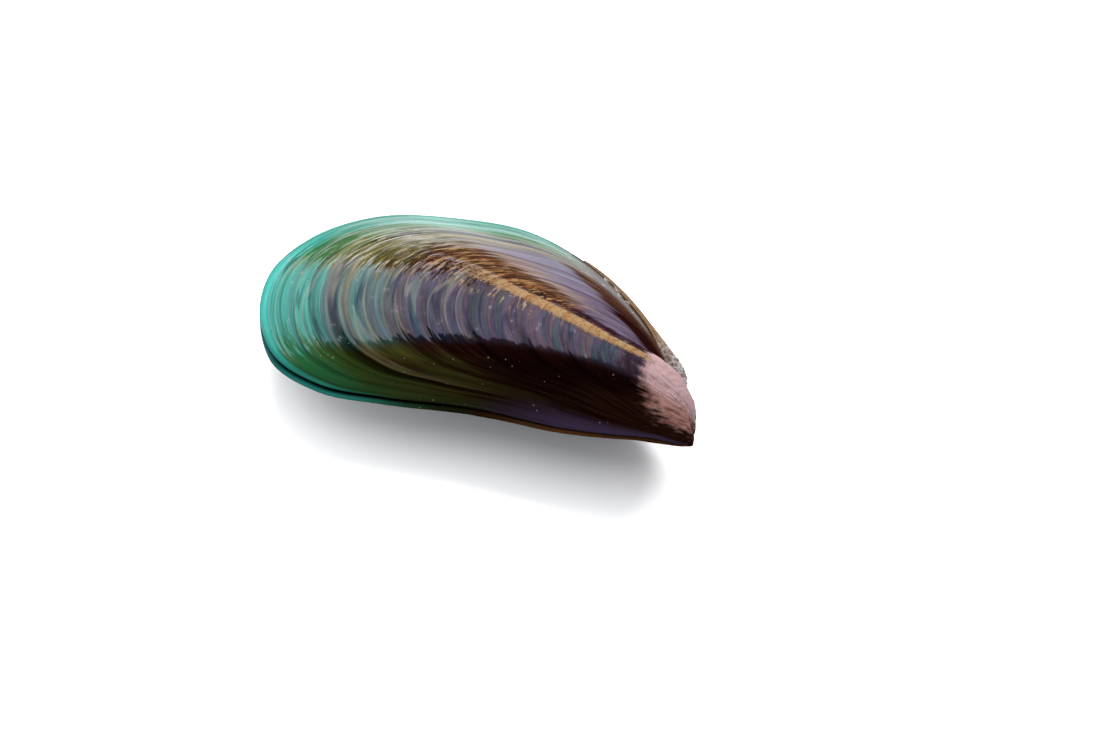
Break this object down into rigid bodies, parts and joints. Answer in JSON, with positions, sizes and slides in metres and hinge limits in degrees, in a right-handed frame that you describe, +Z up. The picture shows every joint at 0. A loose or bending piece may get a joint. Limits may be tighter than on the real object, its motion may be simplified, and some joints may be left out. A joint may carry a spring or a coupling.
{
  "type": "mussel shell",
  "caption": "Closed green-lipped mussel shell: elongated, pointed at the beak, broad and rounded behind, green at the lip and brown towards the beak.",
  "frame": {"origin": "centre of the shell's footprint, on the surface it lies on", "axes": "+X along the shell towards the beak, +Y towards the hinge side, +Z up out of the right valve"},
  "size_m": [0.093, 0.0476, 0.0319],
  "materials": {
    "outer_shell": "glossy, green at the lip, brown to near black towards the beak, worn gold along the keel",
    "ligament_cord": "rough, dull brown"
  },
  "bodies": {
    "root": {"right_valve": "outer_shell", "left_valve": "outer_shell", "ligament": "ligament_cord"}
  },
  "joints": []
}
